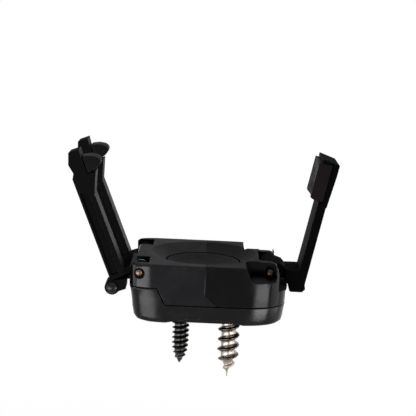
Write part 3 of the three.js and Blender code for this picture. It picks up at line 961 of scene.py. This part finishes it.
@dataclass
class LeftFork(Arm):
    """The two left prongs with their pads, and the bar that ties them at the heel."""

    edge_width: float = 0.1
    pad_edge_width: float = 0.32
    bar_radius: float = 0.85
    head_radius: float = 1.1
    head_height: float = 0.5
    head_angles: Sequence[float] = (0, 15, 30, 45, 60, 75)
    finish: Finish = MouldedPlastic(
        (0.001, 0.001, 0.0012), specular=0.035, roughness=0.56, scuffing=0.15, edge_wear=0.5
    )
    pad_finish: Finish = PadRubber()
    bar_finish: Finish = PlatedSteel((0.022, 0.022, 0.023), (0.007, 0.007, 0.007), 0.16, 0.9)

    def build(self) -> None:
        """Builds and dresses the prongs, the pads and the bar."""
        for end in End:
            self.prong_and_pad(f"left_{end.value}", "left_fork")
        self._bar()

    def _bar(self) -> None:
        """Builds and dresses the bar, with a domed head at each end."""
        node = "fork_heel_bar"
        half = half_depth(node)
        shoulder = half - self.head_height
        dome = [
            (self.head_radius * math.cos(angle), shoulder + self.head_height * math.sin(angle))
            for angle in map(math.radians, self.head_angles)
        ]
        upper = [(self.bar_radius, shoulder), *dome, (0, half)]
        outline = [(r, -y) for r, y in reversed(upper)] + upper
        middle = node_middle(node)
        shape = turned(outline, Axis.ALONG_PIN, middle)
        material = self.bar_finish.material(f"{node}_steel", middle, self.effects)
        dress(shape, "fork_heel_rivet", "left_fork", "bar_steel", material, node)


@dataclass
class RightArm(Arm):
    """The single wide prong and its pad."""

    edge_width: float = 0.07
    pad_edge_width: float = 0.1
    finish: Finish = MouldedPlastic(
        (0.0008, 0.0008, 0.0008), specular=0.025, roughness=0.8, scuffing=0.1, edge_wear=0.3
    )
    pad_finish: Finish = PadRubber((0.004, 0.002, 0.0025))

    def build(self) -> None:
        """Builds and dresses the prong and the pad."""
        self.prong_and_pad("right", "right_arm")


@dataclass
class ThreadedScrew:
    """A screw with a true helical thread, a flat head and a point.

    The taper's rows give, at each height above the tip, the core's radius and the thread's depth.
    The drive is the cross recess: its reach from the axis, half its width and its depth.
    """

    node: str
    slot: str
    finish: Finish
    crest: float
    core: float
    pitch: float
    tip: float
    taper: Sequence[tuple[float, float, float]]
    thread_top: float
    head_bottom: float
    head_top: float
    head_radius: float
    drive: tuple[float, float, float]
    upside_down: bool = False
    root_share: float = 0.3
    crest_share: float = 0.1
    fillet_share: float = 0.16
    crest_drop: float = 0.06
    flank_drop: float = 0.52
    fillet_drop: float = 0.93
    head_round: float = 0.1
    head_chamfer: float = 0.25
    recess_ease: float = 0.7
    spare_turns: int = 2
    steps: int = 40

    def ridge(self) -> list[Point]:
        """Draws one pitch of the thread, from crest to crest.

        Returns:
            The radius and height of its points, in millimetres.
        """
        flank = (1 - self.root_share - self.crest_share) / 2
        fillet = flank * self.fillet_share
        side = self.crest_share / 2
        deep = self.crest - self.core
        shares = [
            (0.0, 0.0),
            (side, self.crest_drop),
            (side + flank / 2, self.flank_drop),
            (side + flank - fillet, self.fillet_drop),
            (side + flank + fillet, 1.0),
        ]
        down = [(self.crest - deep * drop, -share * self.pitch) for share, drop in shares]
        up = [(r, -self.pitch - z) for r, z in reversed(down)]
        return down + up

    def build(self, effects: Effects) -> None:
        """Builds and dresses the screw.

        Args:
            effects: The shared shader groups.
        """
        shape = self._thread()
        self._shape_point(shape)
        self._head(shape)
        shape = self._cross_recess(shape)
        if self.upside_down:
            turn = Matrix.Rotation(math.pi, 3, "X")
            bmesh.ops.rotate(shape, verts=shape.verts, cent=(0, 0, 0), matrix=turn)
        middle = node_middle(self.node)
        bmesh.ops.translate(shape, verts=shape.verts, vec=(middle.x, middle.y, 0))
        name = f"{self.node}_thread"
        material = self.finish.material(f"{name}_steel", middle, effects)
        dress(shape, name, "base", self.slot, material, self.node)

    def _thread(self) -> BMesh:
        """Sweeps one pitch of the thread along its helix and trims it at both ends.

        Returns:
            The thread, open at both ends.
        """
        shape = bmesh.new()
        turns = math.ceil((self.thread_top - self.tip) / self.pitch) + self.spare_turns
        start = self.pitch * (math.floor(self.tip / self.pitch) + 0.5)
        verts = [shape.verts.new(mm(r, 0, start + z)) for r, z in self.ridge()]
        edges = [shape.edges.new(pair) for pair in zip(verts, verts[1:])]
        bmesh.ops.spin(
            shape,
            geom=[*verts, *edges],
            cent=(0, 0, 0),
            axis=(0, 0, 1),
            dvec=(0, 0, self.pitch * MM / self.steps),
            angle=math.tau * turns,
            steps=self.steps * turns,
        )
        bmesh.ops.remove_doubles(shape, verts=shape.verts, dist=TURNED_WELD)
        for height, upper in ((self.tip, False), (self.thread_top, True)):
            bmesh.ops.bisect_plane(
                shape,
                geom=[*shape.verts, *shape.edges, *shape.faces],
                dist=CUT_REACH,
                plane_co=(0, 0, height * MM),
                plane_no=(0, 0, 1),
                clear_outer=upper,
                clear_inner=not upper,
            )
        bmesh.ops.remove_doubles(shape, verts=shape.verts, dist=THREAD_WELD)
        return shape

    def _shape_point(self, shape: BMesh) -> None:
        """Draws the thread in to the point, and fades it out under the head.

        Args:
            shape: The thread.
        """
        for vert in shape.verts:
            height = vert.co.z / MM
            radius = math.hypot(vert.co.x, vert.co.y) / MM
            ridge = (radius - self.core) / (self.crest - self.core)
            ridge *= min(1.0, (self.thread_top - height) / (self.pitch / 2))
            core, deep = self._thickness(height - self.tip)
            wanted = core + ridge * deep
            vert.co.x *= wanted / radius
            vert.co.y *= wanted / radius

    def _thickness(self, above: float) -> Point:
        """Reads the taper.

        Args:
            above: Height above the tip, in millimetres.

        Returns:
            The core's radius and the thread's depth there, in millimetres.
        """
        for (low, *narrow), (high, *wide) in zip(self.taper, self.taper[1:]):
            if above <= high:
                share = (above - low) / (high - low)
                return tuple(a + (b - a) * share for a, b in zip(narrow, wide))
        return self.taper[-1][1:]

    def _head(self, shape: BMesh) -> None:
        """Closes the point, and draws the top of the thread up into the head.

        Args:
            shape: The thread.
        """
        open_edges = [e for e in shape.edges if e.is_boundary]
        middle = (self.tip + self.thread_top) / 2 * MM
        low_edges = [e for e in open_edges if e.verts[0].co.z < middle]
        bmesh.ops.contextual_create(shape, geom=low_edges)
        loop = [e for e in open_edges if e not in low_edges]
        stages = (
            (self.core, self.head_bottom),
            (self.head_radius - self.head_round, self.head_bottom),
            (self.head_radius, self.head_bottom + self.head_round),
            (self.head_radius, self.head_top - self.head_chamfer),
            (self.head_radius - self.head_chamfer, self.head_top),
        )
        for radius, height in stages:
            grown = bmesh.ops.extrude_edge_only(shape, edges=loop)["geom"]
            loop = [e for e in grown if isinstance(e, BMEdge)]
            for vert in {v for e in loop for v in e.verts}:
                outward = Vector((vert.co.x, vert.co.y, 0)).normalized() * radius * MM
                vert.co = outward + Vector((0, 0, height * MM))
            loop = [
                e for e in loop if all(abs(v.co.z - height * MM) < SAME_HEIGHT for v in e.verts)
            ]
        bmesh.ops.contextual_create(shape, geom=loop)
        bmesh.ops.recalc_face_normals(shape, faces=shape.faces)

    def _cross_recess(self, shape: BMesh) -> BMesh:
        """Cuts the cross that a screwdriver fits, narrower at its floor.

        Args:
            shape: The screw. It is freed.

        Returns:
            The screw with its recess.
        """
        reach, half_width, depth = self.drive
        for turn in (0.0, math.pi / 2):
            blade = bmesh.new()
            bmesh.ops.create_cube(blade, size=2)
            for vert in blade.verts:
                upper = vert.co.z > 0
                ease = 1.0 if upper else self.recess_ease
                vert.co.x *= reach * ease * MM
                vert.co.y *= half_width * ease * MM
                vert.co.z = (self.head_top + (self.head_radius if upper else -depth)) * MM
            spin = Matrix.Rotation(turn, 3, "Z")
            bmesh.ops.rotate(blade, verts=blade.verts, cent=(0, 0, 0), matrix=spin)
            shape = carved(shape, blade)
        return shape


# Studio


@dataclass(frozen=True)
class Lamp:
    """A soft area lamp that faces the base.

    The place is its middle and the size its width and height, in millimetres. The radiance tells
    how bright its face is, where 1 is white.
    """

    name: str
    place: Sequence[float]
    size: Point
    radiance: float
    aim: Sequence[float] = (0, 0, 8)

    def build(self) -> None:
        """Hangs the lamp in its place."""
        place = mm(*self.place)
        data = bpy.data.lights.new(self.name, "AREA")
        data.shape = "RECTANGLE"
        data.size, data.size_y = (side * MM for side in self.size)
        data.energy = self.radiance * math.pi * data.size * data.size_y
        lamp = bpy.data.objects.new(self.name, data)
        lamp.location = place
        lamp.rotation_mode = "QUATERNION"
        lamp.rotation_quaternion = (place - mm(*self.aim)).to_track_quat("Z", "Y")
        lamp.visible_camera = False
        bpy.context.scene.collection.objects.link(lamp)


@dataclass
class Studio:
    """The pale floor, the plain soft lamps, the white background and the camera."""

    target: Sequence[float] = (-1.27, 0, 30.135)
    target_pixel: Point = (207.8, 159.5)
    distance: float = 250
    elevation: float = 8
    roll: float = 2.6
    focal_pixels: float = 1271
    picture: int = 416
    sensor_width: float = 36
    sight: Point = (10, 20000)
    floor_height: float = -190
    floor_radius: float = 1200
    floor_facets: int = 96
    floor_grey: float = 0.9
    near: float = 120
    near_whiteness: float = 0.85
    fill: float = 0.2
    white: float = 1.0
    lamps: Sequence[Lamp] = (
        Lamp("left_front_panel", (-194, -281, -96), (290, 112), 9.2),
        Lamp("right_front_panel", (236, -249, -85), (176, 86), 14.8),
        Lamp("left_side_panel", (-340, -60, 0), (200, 260), 2.6),
        Lamp("right_side_panel", (340, -20, 0), (220, 260), 2.3),
        Lamp("top_panel", (0, 120, 400), (420, 420), 1.5),
        Lamp("left_rear_panel", (-95, 330, -75), (110, 190), 2),
        Lamp("right_rear_panel", (95, 330, -75), (110, 190), 2),
    )

    def build(self) -> None:
        """Builds the whole studio."""
        self._camera()
        self._floor()
        self._world()
        for lamp in self.lamps:
            lamp.build()
        bpy.context.scene.view_settings.view_transform = "Standard"

    def _camera(self) -> None:
        """Sets the camera where the photograph was taken from, with its lean."""
        lift = math.radians(self.elevation)
        back = Vector((0, -math.cos(lift), math.sin(lift)))
        right = Vector((1, 0, 0))
        up = back.cross(right)
        lean = Matrix.Rotation(math.radians(self.roll), 3, back)
        right, up = lean @ right, lean @ up
        place = mm(*self.target) + back * self.distance * MM
        above = math.atan((self.picture / 2 - self.target_pixel[1]) / self.focal_pixels)
        aside = math.atan((self.target_pixel[0] - self.picture / 2) / self.focal_pixels)
        turn = Matrix.Rotation(-above, 3, right) @ Matrix.Rotation(aside, 3, up)
        rows = Matrix((turn @ right, turn @ up, turn @ back)).transposed()
        data = bpy.data.cameras.new("photo_camera")
        data.sensor_width = self.sensor_width
        data.lens = data.sensor_width * self.focal_pixels / self.picture
        data.clip_start, data.clip_end = (reach * MM for reach in self.sight)
        camera = bpy.data.objects.new("photo_camera", data)
        camera.matrix_world = Matrix.Translation(place) @ rows.to_4x4()
        bpy.context.scene.collection.objects.link(camera)
        bpy.context.scene.camera = camera

    def _floor(self) -> None:
        """Lays the pale floor, which keeps the object's soft shadow."""
        shape = bmesh.new()
        radius = self.floor_radius * MM
        bmesh.ops.create_circle(shape, cap_ends=True, segments=self.floor_facets, radius=radius)
        bmesh.ops.translate(shape, verts=shape.verts, vec=mm(0, 0, self.floor_height))
        mesh = bpy.data.meshes.new("floor")
        shape.to_mesh(mesh)
        shape.free()
        material = bpy.data.materials.new("pale_floor")
        material.use_nodes = True
        graph = Graph(material.node_tree)
        matt = graph.add("ShaderNodeBsdfDiffuse")
        matt.inputs["Color"].default_value = (*[self.floor_grey] * 3, 1)
        bright = graph.add("ShaderNodeEmission")
        mix = graph.add("ShaderNodeMixShader")
        place = graph.add("ShaderNodeTexCoord")
        away = graph.add("ShaderNodeVectorMath", operation="LENGTH")
        graph.join(place.outputs["Object"], away.inputs[0])
        reach = away.outputs["Value"]
        plain = graph.spread(reach, self.near * MM, radius / 2, self.near_whiteness)
        graph.join(graph.math("MULTIPLY", graph.shows_background(), plain), mix.inputs["Fac"])
        graph.join(matt.outputs[0], mix.inputs[1])
        graph.join(bright.outputs[0], mix.inputs[2])
        graph.show("ShaderNodeOutputMaterial", mix)
        mesh.materials.append(material)
        floor = bpy.data.objects.new("floor", mesh)
        bpy.context.scene.collection.objects.link(floor)

    def _world(self) -> None:
        """Lights the scene softly from all round, before a white background."""
        world = bpy.data.worlds.new("studio_world")
        bpy.context.scene.world = world
        world.use_nodes = True
        graph = Graph(world.node_tree)
        mix = graph.add("ShaderNodeMixShader")
        graph.join(graph.shows_background(), mix.inputs["Fac"])
        for strength, target in ((self.fill, mix.inputs[1]), (self.white, mix.inputs[2])):
            light = graph.add("ShaderNodeBackground")
            light.inputs["Color"].default_value = (1, 1, 1, 1)
            light.inputs["Strength"].default_value = strength
            graph.join(light.outputs[0], target)
        graph.show("ShaderNodeOutputWorld", mix)


# The whole claw


def grip_screws() -> Iterable[ThreadedScrew]:
    """Designs the two screws that the claw can be fitted with.

    Yields:
        The fine black screw and the coarse bright one.
    """
    black = ThreadedScrew(
        node="black_grip_screw",
        slot="black_steel",
        # Its crests are painted near black against paler roots: the dark crests are painted shade
        finish=ThreadSteel((0.006, 0.006, 0.006), (0.045, 0.045, 0.043), 1.25, 1.5, 0.16, 0.95),
        crest=1.78,
        core=1.25,
        pitch=1.03,
        tip=-11.5,
        taper=(
            (0, 0.06, 0.0),
            (0.6, 0.4, 0.06),
            (1.4, 0.85, 0.28),
            (3.0, 1.16, 0.48),
            (4.6, 1.24, 0.54),
        ),
        thread_top=0.9,
        head_bottom=1.4,
        head_top=3.0,
        head_radius=3.25,
        drive=(1.65, 0.4, 0.9),
        root_share=0.36,
    )
    yield black
    yield replace(
        black,
        node="bright_grip_screw",
        slot="bright_steel",
        # Its crests are painted dark brown against pale roots: the dark crests are painted shade
        finish=ThreadSteel((0.045, 0.038, 0.033), (0.37, 0.325, 0.29), 1.7, 2.08, 0.22),
        crest=2.25,
        core=1.48,
        pitch=2.05,
        tip=-14,
        taper=(
            (0, 0.05, 0.0),
            (1.3, 0.24, 0.02),
            (1.7, 0.4, 0.4),
            (2.4, 0.62, 0.7),
            (3.6, 1.14, 0.8),
            (4.8, 1.48, 0.77),
        ),
        crest_share=0.14,
    )


def housing_screws() -> Iterable[ThreadedScrew]:
    """Designs the small screws that hold the cup to the housings from below.

    Yields:
        The four screws.
    """
    for i in range(1, 5):
        yield ThreadedScrew(
            node=f"housing_screw_{i}",
            slot="black_steel",
            finish=ThreadSteel((0.05, 0.05, 0.05), (0.02, 0.02, 0.02), 0.5, 1.4, 0.26, 0.9),
            crest=0.72,
            core=0.52,
            pitch=0.55,
            tip=-6.85,
            taper=((0, 0.05, 0.0), (0.7, 0.4, 0.1), (1.2, 0.52, 0.2)),
            thread_top=-1.3,
            head_bottom=-1.15,
            head_top=-0.25,
            head_radius=1.45,
            drive=(0.87, 0.2, 0.5),
            upside_down=True,
            steps=24,
        )


def main() -> None:
    """Builds the claw and its studio, in order."""
    logging.basicConfig(level=logging.INFO, format="%(name)s: %(message)s")
    effects = Effects()
    BaseShell(effects).build()
    HingePins(effects).build()
    LeftFork(effects).build()
    RightArm(effects).build()
    for screw in (*grip_screws(), *housing_screws()):
        screw.build(effects)
    Studio().build()


if __name__ == "__main__":
    main()
